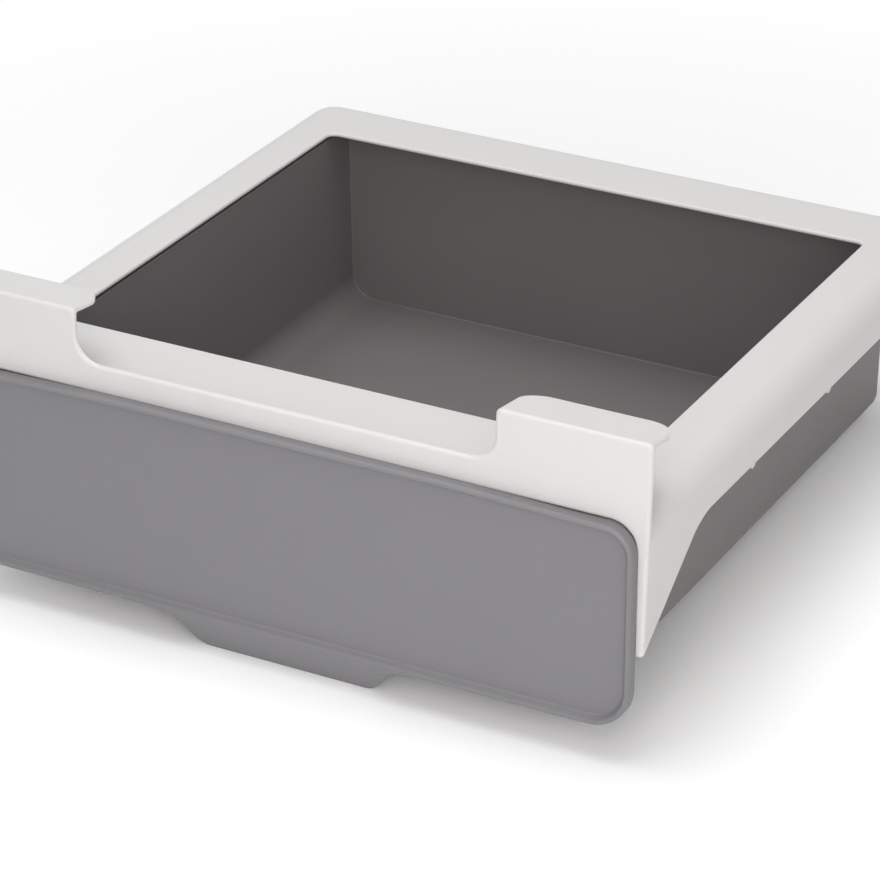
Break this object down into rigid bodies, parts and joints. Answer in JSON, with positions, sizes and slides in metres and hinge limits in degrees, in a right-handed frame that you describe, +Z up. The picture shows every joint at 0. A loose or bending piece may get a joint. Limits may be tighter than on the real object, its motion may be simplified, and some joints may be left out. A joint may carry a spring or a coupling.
{
  "type": "under-shelf drawer",
  "caption": "Under-shelf drawer: a rectangular frame with two ears that hook over a shelf's front edge, and an open-topped bin with a front panel and finger pull that slides out of it.",
  "frame": {"origin": "middle of the front rail's flat top, where the shelf's underside rests", "axes": "+Z up and out of the frame's flat top, -Y towards the person who pulls the drawer, +X to that person's right"},
  "size_m": [0.32, 0.3202, 0.1387],
  "materials": {
    "frame_white": "satin",
    "runner_white": "satin",
    "bin_grey": "fine matt",
    "front_grey": "fine matt"
  },
  "bodies": {
    "frame": {"shelf_frame": "frame_white", "left_runner": "runner_white", "right_runner": "runner_white"},
    "drawer": {"drawer_bin": "bin_grey", "drawer_front": "front_grey"}
  },
  "joints": [
    {"name": "drawer_slide", "type": "slide", "parent": "frame", "child": "drawer", "axis": [0, -1, 0], "range_m": [0, 0.215]}
  ]
}
